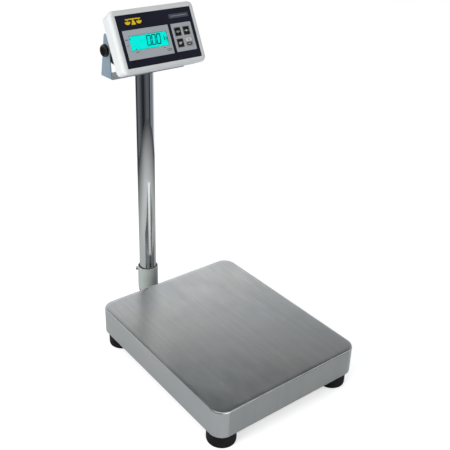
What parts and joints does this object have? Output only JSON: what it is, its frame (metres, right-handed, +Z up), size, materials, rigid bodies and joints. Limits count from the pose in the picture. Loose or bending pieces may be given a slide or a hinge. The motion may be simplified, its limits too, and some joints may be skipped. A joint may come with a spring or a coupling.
{
  "type": "bench scale",
  "caption": "Bench weighing scale with a stainless pan on a single load cell, a round rear column and a tilting digital indicator.",
  "frame": {"origin": "middle of the object's footprint, on the floor under the feet", "axes": "+Z up along the column, -Y towards the person who reads the indicator, +X to that person's right"},
  "size_m": [0.3414, 0.511, 0.6832],
  "materials": {
    "stainless_pan": "brushed",
    "painted_frame": "semi-gloss",
    "painted_carrier": "semi-gloss",
    "cell_aluminium": "satin",
    "zinc_fasteners": "zinc plated",
    "foot_rubber": "moulded",
    "socket_steel": "satin",
    "bush_nylon": "natural nylon",
    "level_housing": "satin",
    "level_vial": "tinted fluid",
    "polished_post": "polished",
    "plug_aluminium": "turned",
    "bracket_steel": "satin",
    "case_white": "fine texture",
    "case_grey": "fine texture",
    "gasket_foam": "foam",
    "overlay_film": "satin film",
    "lens_clear": "clear",
    "display_panel": "back-lit",
    "key_film": "satin film",
    "circuit_board": "solder mask",
    "brass_fittings": "machined",
    "battery_case": "shrink sleeve",
    "black_plastic": "moulded"
  },
  "bodies": {
    "base": {"base_frame": "painted_frame", "load_cell": "cell_aluminium", "lower_spacer": "painted_frame", "lower_cell_bolts": "zinc_fasteners", "overload_screws": "zinc_fasteners", "overload_nuts": "zinc_fasteners", "foot_lock_nuts": "zinc_fasteners", "column_plate": "painted_frame", "column_bolts": "zinc_fasteners", "column_nuts": "zinc_fasteners", "socket": "socket_steel", "socket_screws": "zinc_fasteners", "post_bush": "bush_nylon", "cable_grommet": "foot_rubber", "level_housing": "level_housing", "level_vial": "level_vial"},
    "carrier": {"carrier": "painted_carrier", "upper_spacer": "painted_frame", "upper_cell_bolts": "zinc_fasteners", "pan_pads": "foot_rubber"},
    "pan": {"pan": "stainless_pan"},
    "clamp_screw": {"clamp_screw": "zinc_fasteners"},
    "column": {"post": "polished_post", "post_plug": "plug_aluminium", "bracket": "bracket_steel", "bracket_screws": "zinc_fasteners"},
    "indicator": {"front_shell": "case_white", "rear_shell": "case_grey", "case_gasket": "gasket_foam", "case_screws": "zinc_fasteners", "overlay": "overlay_film", "display_lens": "lens_clear", "lcd_module": "display_panel", "keypad_board": "circuit_board", "main_board": "circuit_board", "board_standoffs": "brass_fittings", "battery_pack": "battery_case", "dc_inlet": "black_plastic", "cable_gland": "black_plastic", "pivot_inserts": "brass_fittings", "friction_washers": "bush_nylon"},
    "battery_door": {"battery_door": "case_grey"},
    "foot_front_left": {"foot_front_left": "foot_rubber", "stud_front_left": "zinc_fasteners"},
    "foot_front_right": {"foot_front_right": "foot_rubber", "stud_front_right": "zinc_fasteners"},
    "foot_back_left": {"foot_back_left": "foot_rubber", "stud_back_left": "zinc_fasteners"},
    "foot_back_right": {"foot_back_right": "foot_rubber", "stud_back_right": "zinc_fasteners"},
    "key_1": {"key_1": "key_film"},
    "key_2": {"key_2": "key_film"},
    "key_3": {"key_3": "key_film"},
    "key_4": {"key_4": "key_film"},
    "knob_left": {"knob_left": "black_plastic", "knob_stud_left": "zinc_fasteners"},
    "knob_right": {"knob_right": "black_plastic", "knob_stud_right": "zinc_fasteners"}
  },
  "joints": [
    {"name": "load_travel", "type": "slide", "parent": "base", "child": "carrier", "axis": [0, 0, 1], "range_m": [-0.0008, 0], "stiffness_N_per_m": 1000000, "deforming": ["load_cell"]},
    {"name": "pan_lift", "type": "slide", "parent": "carrier", "child": "pan", "axis": [0, 0, 1], "range_m": [0, 0.06]},
    {"name": "level_front_left", "type": "slide", "parent": "base", "child": "foot_front_left", "axis": [0, 0, -1], "range_m": [0, 0.014]},
    {"name": "level_front_right", "type": "slide", "parent": "base", "child": "foot_front_right", "axis": [0, 0, -1], "range_m": [0, 0.014]},
    {"name": "level_back_left", "type": "slide", "parent": "base", "child": "foot_back_left", "axis": [0, 0, -1], "range_m": [0, 0.014]},
    {"name": "level_back_right", "type": "slide", "parent": "base", "child": "foot_back_right", "axis": [0, 0, -1], "range_m": [0, 0.014]},
    {"name": "clamp_turn", "type": "hinge", "parent": "base", "child": "clamp_screw", "pos_m": [0, 0.2325, 0.077], "axis": [-0.7071, 0.7071, 0], "continuous": true},
    {"name": "column_turn", "type": "hinge", "parent": "base", "child": "column", "pos_m": [0, 0.2325, 0.035], "axis": [0, 0, 1], "range_deg": [-90, 90]},
    {"name": "indicator_tilt", "type": "hinge", "parent": "column", "child": "indicator", "pos_m": [0, 0.2313, 0.6046], "axis": [-1, 0, 0], "range_deg": [-25, 28]},
    {"name": "door_release", "type": "slide", "parent": "indicator", "child": "battery_door", "axis": [0, 0.8926, -0.4509], "range_m": [0, 0.02]},
    {"name": "key_1_press", "type": "slide", "parent": "indicator", "child": "key_1", "axis": [0, 0.8926, -0.4509], "range_m": [0, 0.0005], "stiffness_N_per_m": 1500, "springref_m": -0.0003},
    {"name": "key_2_press", "type": "slide", "parent": "indicator", "child": "key_2", "axis": [0, 0.8926, -0.4509], "range_m": [0, 0.0005], "stiffness_N_per_m": 1500, "springref_m": -0.0003},
    {"name": "key_3_press", "type": "slide", "parent": "indicator", "child": "key_3", "axis": [0, 0.8926, -0.4509], "range_m": [0, 0.0005], "stiffness_N_per_m": 1500, "springref_m": -0.0003},
    {"name": "key_4_press", "type": "slide", "parent": "indicator", "child": "key_4", "axis": [0, 0.8926, -0.4509], "range_m": [0, 0.0005], "stiffness_N_per_m": 1500, "springref_m": -0.0003},
    {"name": "knob_left_turn", "type": "hinge", "parent": "indicator", "child": "knob_left", "pos_m": [0, 0.2313, 0.6046], "axis": [1, 0, 0], "continuous": true},
    {"name": "knob_right_turn", "type": "hinge", "parent": "indicator", "child": "knob_right", "pos_m": [0, 0.2313, 0.6046], "axis": [1, 0, 0], "continuous": true}
  ]
}
